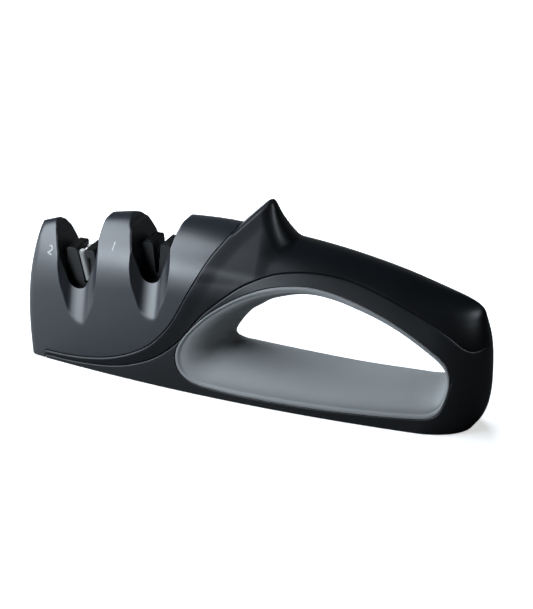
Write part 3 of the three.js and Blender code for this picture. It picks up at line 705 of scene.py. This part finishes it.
def add_node(tree, kind, settings=None, **inputs):
    """One node with its settings and inputs; an input that is an output socket is linked, any other is set.

    An input is named by its label, with _ for a space, or by i and its number.
    """
    node = tree.nodes.new(kind)
    for key, value in (settings or {}).items():
        setattr(node, key, value)
    for key, value in inputs.items():
        numbered = key[0] == "i" and key[1:].isdigit()
        socket = node.inputs[int(key[1:]) if numbered else key.replace("_", " ")]
        if isinstance(value, bpy.types.NodeSocket):
            tree.links.new(value, socket)
        else:
            socket.default_value = value
    return node


def moulded(name, colour, roughness, grain_mm, grain_deep, tint, specular=0.5):
    """A moulded surface: fine die grain as bump, slow cloud in the tint, and roughness that wanders a little."""
    material = bpy.data.materials.new(name)
    material.use_nodes = True
    tree = material.node_tree
    tree.nodes.clear()
    place = add_node(tree, "ShaderNodeTexCoord").outputs["Object"]
    grain = add_node(tree, "ShaderNodeTexNoise", None, Vector=place, Scale=1 / (grain_mm * MM),
                     Detail=3.0, Roughness=0.6)
    cloud = add_node(tree, "ShaderNodeTexNoise", None, Vector=place, Scale=1 / (CLOUD_MM * MM),
                     Detail=4.0, Roughness=0.55)
    base = linear(colour)
    shade = add_node(tree, "ShaderNodeMix", {"data_type": "RGBA"}, i0=cloud.outputs["Fac"],
                     i6=[c * (1 - tint) for c in base] + [1], i7=[c * (1 + tint) for c in base] + [1])
    rough = add_node(tree, "ShaderNodeMapRange", None, Value=cloud.outputs["Fac"],
                     i3=roughness - 0.05, i4=roughness + 0.05)
    bump = add_node(tree, "ShaderNodeBump", None, Strength=0.6, Distance=grain_deep * MM,
                    Height=grain.outputs["Fac"])
    shader = add_node(tree, "ShaderNodeBsdfPrincipled", None, Base_Color=shade.outputs[2],
                      Roughness=rough.outputs[0], Specular_IOR_Level=specular, Normal=bump.outputs[0])
    add_node(tree, "ShaderNodeOutputMaterial", None, Surface=shader.outputs[0])
    return material


def ground_metal(name, colour, roughness, scratch_mm):
    """A ground or plated metal: fine scratches that vary the roughness and lift the surface a little."""
    material = bpy.data.materials.new(name)
    material.use_nodes = True
    tree = material.node_tree
    tree.nodes.clear()
    place = add_node(tree, "ShaderNodeTexCoord").outputs["Object"]
    stretched = add_node(tree, "ShaderNodeMapping", None, Vector=place, Scale=(1.0, 1.0, 0.12))
    scratch = add_node(tree, "ShaderNodeTexNoise", None, Vector=stretched.outputs[0],
                       Scale=1 / (scratch_mm * MM), Detail=4.0)
    rough = add_node(tree, "ShaderNodeMapRange", None, Value=scratch.outputs["Fac"],
                     i3=roughness - 0.1, i4=roughness + 0.1)
    base = linear(colour)
    shade = add_node(tree, "ShaderNodeMix", {"data_type": "RGBA"}, i0=scratch.outputs["Fac"],
                     i6=[c * 0.8 for c in base] + [1], i7=[c * 1.1 for c in base] + [1])
    bump = add_node(tree, "ShaderNodeBump", None, Strength=0.4, Distance=0.02 * MM, Height=scratch.outputs["Fac"])
    shader = add_node(tree, "ShaderNodeBsdfPrincipled", None, Base_Color=shade.outputs[2], Metallic=1.0,
                      Roughness=rough.outputs[0], Normal=bump.outputs[0])
    add_node(tree, "ShaderNodeOutputMaterial", None, Surface=shader.outputs[0])
    return material


def colour_prop(name, description, hex_colour):
    """A colour that a user may change, kept as sRGB."""
    parts = [int(hex_colour[i:i + 2], 16) / 255 for i in (1, 3, 5)]
    return FloatVectorProperty(name=name, description=description, default=parts, size=3, min=0, max=1,
                               subtype="COLOR_GAMMA")


def hex_of(colour):
    """Hex value of an sRGB colour property."""
    return "#" + "".join(f"{round(c * 255):02x}" for c in colour)


class SharpenerSizes(PropertyGroup):
    """Sizes that a user would change."""

    edge: FloatProperty(name="Edge", description="Rounding of the seams' edges", default=0.5 * MM,
                        min=0.2 * MM, max=1.5 * MM, unit="LENGTH")
    numeral: FloatProperty(name="Numeral height", description="Height of the stage numerals", default=3.7 * MM,
                           min=2 * MM, max=8 * MM, unit="LENGTH")


class SharpenerColours(PropertyGroup):
    """Colours that a user would change."""

    head: colour_prop("Head", "Satin grey of the head", "#23262c")
    shell: colour_prop("Shell", "Black of the handle's upper shell", "#131518")
    base: colour_prop("Base", "Black of the lower body", "#131518")
    rubber: colour_prop("Rubber", "Grey of the liner and the pads", "#9b9d9d")
    inner: colour_prop("Cartridge", "Black of the cartridges", "#0c0c0d")
    ceramic: colour_prop("Ceramic", "Off-white of the rods", "#dcdcd8")
    carbide: colour_prop("Carbide", "Dark metal of the plates", "#5c6064")
    screw: colour_prop("Screw", "Plated steel of the screws", "#b4b8bb")
    print: colour_prop("Numerals", "White of the printed numerals", "#d8d8d8")


class SHARPENER_OT_head(Operator):
    """Make the satin head with its two slots"""

    bl_idname = "sharpener.head"
    bl_label = "Head"

    def execute(self, context):
        scene = context.scene
        # ABS, moulded with a fine die grain: a soft broad sheen over grey
        finish = moulded("satin_abs_moulded", hex_of(scene.sharpener_colours.head), 0.34, 0.5, 0.012, 0.05, 0.9)
        points, faces = head_shape(scene.sharpener_sizes.edge / MM)
        make_piece("head", points, faces, finish, "head_housing")
        # Pad-printed ink: flat and dry on the satin
        ink = moulded("white_ink_printed", hex_of(scene.sharpener_colours.print), 0.6, 0.25, 0.006, 0.04)
        for text, place, lean in NUMERALS:
            numeral_piece(text, place, math.radians(lean), scene.sharpener_sizes.numeral / MM, ink)
        return {"FINISHED"}


class SHARPENER_OT_shell(Operator):
    """Make the black upper shell with the horn"""

    bl_idname = "sharpener.shell"
    bl_label = "Upper shell"

    def execute(self, context):
        scene = context.scene
        # ABS, moulded nearly smooth: deep black with clear soft highlights
        finish = moulded("black_abs_moulded", hex_of(scene.sharpener_colours.shell), 0.34, 0.5, 0.006, 0.1, 0.32)
        points, faces = shell_shape(scene.sharpener_sizes.edge / MM)
        make_piece("upper_shell", points, faces, finish, "handle_top_shell")
        return {"FINISHED"}


class SHARPENER_OT_base(Operator):
    """Make the lower body round the loop"""

    bl_idname = "sharpener.base"
    bl_label = "Lower body"

    def execute(self, context):
        scene = context.scene
        # ABS, moulded with a die grain: black that greys softly in the light
        finish = moulded("grained_abs_moulded", hex_of(scene.sharpener_colours.base), 0.42, 0.5, 0.014, 0.08, 0.5)
        points, faces = lower_shape(scene.sharpener_sizes.edge / MM)
        make_piece("lower_shell", points, faces, finish, "lower_body")
        return {"FINISHED"}


class SHARPENER_OT_liner(Operator):
    """Make the soft liner of the finger loop"""

    bl_idname = "sharpener.liner"
    bl_label = "Liner"

    def execute(self, context):
        scene = context.scene
        # Thermoplastic rubber, moulded: dry and matt, a little uneven
        finish = moulded("grey_rubber_moulded", hex_of(scene.sharpener_colours.rubber), 0.55, 0.6, 0.02, 0.1, 0.4)
        points, faces = liner_shape(scene.sharpener_sizes.edge / MM)
        make_piece("liner", points, faces, finish, "grip_liner")
        for place, pad in PADS.items():
            points, faces = pad_shape(pad, 1.5 * scene.sharpener_sizes.edge / MM)
            make_piece(place + "_pad", points, faces, finish, "base_pad_" + place)
        return {"FINISHED"}


def dress(node, material):
    """Give a carried-over solid its finish and break its edges."""
    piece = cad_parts[node]
    piece.data.materials.clear()
    piece.data.materials.append(material)
    piece.modifiers.new("weld", "WELD").merge_threshold = 1e-6
    break_edges(piece)


class SHARPENER_OT_stages(Operator):
    """Finish the cartridges, rods, plates and screws"""

    bl_idname = "sharpener.stages"
    bl_label = "Stages"

    def execute(self, context):
        colours = context.scene.sharpener_colours
        # ABS, moulded in black: the pocket stays dark
        inner = moulded("black_abs_insert", hex_of(colours.inner), 0.4, 0.4, 0.01, 0.1)
        # Alumina, sintered and ground: bright and dry with a fine grain
        ceramic = moulded("alumina_sintered", hex_of(colours.ceramic), 0.55, 0.3, 0.01, 0.03, 0.8)
        # Tungsten carbide, ground: dark metal with a fine scratch
        carbide = ground_metal("tungsten_carbide_ground", hex_of(colours.carbide), 0.35, 0.15)
        # Steel, zinc plated: pale and lightly scratched
        screw = ground_metal("steel_zinc_plated", hex_of(colours.screw), 0.3, 0.2)
        finishes = {"cartridge": inner, "plate": carbide, "screw": screw}
        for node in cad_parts:
            kind = next((k for k in ("screw", "plate", "cartridge") if k in node), None)
            if kind and node != "fine_cartridge":
                dress(node, finishes[kind])
        insert_piece(inner)
        for name, side in (("left", 1), ("right", -1)):
            points, faces = rod_shape(side)
            make_piece(name + "_rod", points, faces, ceramic, "fine_rod_" + name)
        return {"FINISHED"}


class SHARPENER_OT_stage(Operator):
    """Set the floor, the studio light and the camera"""

    bl_idname = "sharpener.stage"
    bl_label = "Studio"

    def execute(self, context):
        make_floor()
        make_world(context.scene)
        make_lights()
        make_camera(context.scene)
        context.scene.view_settings.view_transform = "Standard"
        return {"FINISHED"}


# Floor half width in metres, the band in X over which its painted shade sets in, its two shades in the object's own
# light (painted shade on the right) and its own light
FLOOR_HALF, FLOOR_GLOW = 4.0, 0.62
SHADE_BAND_X, PAINTED_FLOOR_SHADE = (-0.2, 0.02), (0.7, 0.1)
ROOM_DIM, ROOM_BACK = 0.03, 0.15


def make_floor():
    """A wide pale floor: matt for its shadow and white to the camera.

    In the object's own light its right side is darker: painted shade, seen only in reflections and bounce light.
    """
    corners = np.array([(-1, -1, 0), (1, -1, 0), (1, 1, 0), (-1, 1, 0)]) * FLOOR_HALF
    mesh = bpy.data.meshes.new("floor")
    mesh.from_pydata(corners.tolist(), [], [(0, 1, 2, 3)])
    floor = bpy.data.objects.new("floor", mesh)
    bpy.context.scene.collection.objects.link(floor)
    material = bpy.data.materials.new("pale_floor")
    material.use_nodes = True
    tree = material.node_tree
    tree.nodes.clear()
    seen = add_node(tree, "ShaderNodeLightPath").outputs["Is Camera Ray"]
    place = add_node(tree, "ShaderNodeTexCoord").outputs["Object"]
    across = add_node(tree, "ShaderNodeSeparateXYZ", None, Vector=place).outputs["X"]
    # Painted shade: for all but camera rays the floor darkens from 0.7 on its left to 0.1 on its right
    painted_shade = add_node(tree, "ShaderNodeMapRange", {"interpolation_type": "SMOOTHSTEP"}, Value=across,
                       i1=SHADE_BAND_X[0], i2=SHADE_BAND_X[1], i3=PAINTED_FLOOR_SHADE[0], i4=PAINTED_FLOOR_SHADE[1])
    pale = add_node(tree, "ShaderNodeMath", {"operation": "MAXIMUM"}, i0=seen, i1=painted_shade.outputs[0])
    matt = add_node(tree, "ShaderNodeBsdfDiffuse", None, Color=pale.outputs[0])
    share = add_node(tree, "ShaderNodeMath", {"operation": "MULTIPLY"}, i0=seen, i1=FLOOR_GLOW)
    glow = add_node(tree, "ShaderNodeEmission", None, Color=(1, 1, 1, 1), Strength=share.outputs[0])
    both = add_node(tree, "ShaderNodeAddShader", None, i0=matt.outputs[0], i1=glow.outputs[0])
    add_node(tree, "ShaderNodeOutputMaterial", None, Surface=both.outputs[0])
    mesh.materials.append(material)


def make_world(scene):
    """White to the camera; in the object's own light a dim room, a little brighter low down behind it."""
    world = bpy.data.worlds.new("studio")
    scene.world = world
    world.use_nodes = True
    tree = world.node_tree
    tree.nodes.clear()
    heading = add_node(tree, "ShaderNodeTexCoord").outputs["Generated"]
    split = add_node(tree, "ShaderNodeSeparateXYZ", None, Vector=heading)
    room = add_node(tree, "ShaderNodeMapRange", {"interpolation_type": "SMOOTHSTEP"}, Value=split.outputs["Y"],
                    i1=0.45, i2=0.8, i3=ROOM_DIM, i4=ROOM_BACK)
    low = add_node(tree, "ShaderNodeMapRange", {"interpolation_type": "SMOOTHSTEP"}, Value=split.outputs["Z"],
                   i1=0.35, i2=0.6, i3=1.0, i4=0.05)
    wall = add_node(tree, "ShaderNodeMath", {"operation": "MULTIPLY"}, i0=room.outputs[0], i1=low.outputs[0])
    seen = add_node(tree, "ShaderNodeLightPath").outputs["Is Camera Ray"]
    strength = add_node(tree, "ShaderNodeMath", {"operation": "MAXIMUM"}, i0=wall.outputs[0], i1=seen)
    glow = add_node(tree, "ShaderNodeBackground", None, Color=(1, 1, 1, 1), Strength=strength.outputs[0])
    add_node(tree, "ShaderNodeOutputWorld", None, Surface=glow.outputs[0])


# Area lights in metres and watts; off names the kinds of ray that don't see a light
LIGHTS = {
    "key_panel": {
        "at": (-0.6, -0.4, 0.42), "to": (0, -0.15, 0.15), "size": (0.85, 0.7), "power": 10.5, "off": (),
    },
    "front_strip": {
        "at": (-0.55, -0.88, 0.09), "to": (0, 0, 0.04), "size": (0.6, 0.18), "power": 3.6, "off": ("diffuse",),
    },
    "top_softbox": {
        "at": (-0.45, 0.6, 0.95), "to": (0, 0, 0.03), "size": (0.6, 0.6), "power": 11.0, "off": ("glossy",),
    },
    "rear_strip": {
        "at": (0.85, -0.32, 0.58), "to": (0.09, 0, 0.03), "size": (0.08, 0.4), "power": 3.0, "off": ("diffuse",),
    },
}
LIGHT_TINT = (0.82, 0.91, 1.0)


def make_lights():
    """Large soft area lights aimed at the object."""
    for name, light in LIGHTS.items():
        data = bpy.data.lights.new(name, "AREA")
        data.shape, data.energy = "RECTANGLE", light["power"]
        data.size, data.size_y = light["size"]
        data.color = LIGHT_TINT
        lamp = bpy.data.objects.new(name, data)
        bpy.context.scene.collection.objects.link(lamp)
        for ray in light["off"]:
            setattr(lamp, "visible_" + ray, False)
        aim = np.array(light["to"]) - np.array(light["at"])
        lamp.matrix_world = Matrix.Translation(light["at"]) @ look_along(aim).to_4x4()


def look_along(aim):
    """Rotation that points -Z along a direction."""
    return Vector(aim).to_track_quat("-Z", "Y").to_matrix()


def make_camera(scene):
    """The photograph's camera: fitted angles and distance, moved sideways in its own plane."""
    a, e = math.radians(VIEW_AZIMUTH), math.radians(VIEW_ELEVATION)
    right = np.array([math.cos(a), math.sin(a), 0])
    back = np.array([math.sin(a) * math.cos(e), -math.cos(a) * math.cos(e), math.sin(e)])
    up = np.cross(back, right)
    place = (back * VIEW_DISTANCE + right * VIEW_SHIFT_RIGHT + up * VIEW_SHIFT_UP) * MM
    data = bpy.data.cameras.new("photo_camera")
    data.sensor_width = SENSOR_MM
    data.lens = FOCAL_PX * SENSOR_MM / max(PHOTO_WIDE, PHOTO_HIGH)
    camera = bpy.data.objects.new("photo_camera", data)
    scene.collection.objects.link(camera)
    turned = np.stack([right, up, back], 1)
    camera.matrix_world = Matrix([[*row, t] for row, t in zip(turned, place)] + [[0, 0, 0, 1]])
    scene.camera = camera


class SHARPENER_PT_panel(Panel):
    """Sizes, colours and the pieces to make"""

    bl_idname = "SHARPENER_PT_panel"
    bl_label = "Knife sharpener"
    bl_space_type = "VIEW_3D"
    bl_region_type = "UI"
    bl_category = "Sharpener"

    def draw(self, context):
        for group in (context.scene.sharpener_sizes, context.scene.sharpener_colours):
            for key in group.__annotations__:
                self.layout.prop(group, key)
        for operator in OPERATORS:
            self.layout.operator(operator.bl_idname)


OPERATORS = (
    SHARPENER_OT_head, SHARPENER_OT_shell, SHARPENER_OT_base, SHARPENER_OT_liner,
    SHARPENER_OT_stages, SHARPENER_OT_stage,
)
CLASSES = (SharpenerSizes, SharpenerColours, *OPERATORS, SHARPENER_PT_panel)


def register():
    """Register the classes and hang the settings on the scene."""
    for item in CLASSES:
        bpy.utils.register_class(item)
    bpy.types.Scene.sharpener_sizes = PointerProperty(type=SharpenerSizes)
    bpy.types.Scene.sharpener_colours = PointerProperty(type=SharpenerColours)


def unregister():
    """Take the settings and the classes away again."""
    del bpy.types.Scene.sharpener_colours
    del bpy.types.Scene.sharpener_sizes
    for item in reversed(CLASSES):
        bpy.utils.unregister_class(item)


def main():
    """Register the add-on with its two settings groups and make every piece in order."""
    register()
    bpy.ops.sharpener.head()
    bpy.ops.sharpener.shell()
    bpy.ops.sharpener.base()
    bpy.ops.sharpener.liner()
    bpy.ops.sharpener.stages()
    bpy.ops.sharpener.stage()


if __name__ == "__main__":
    main()
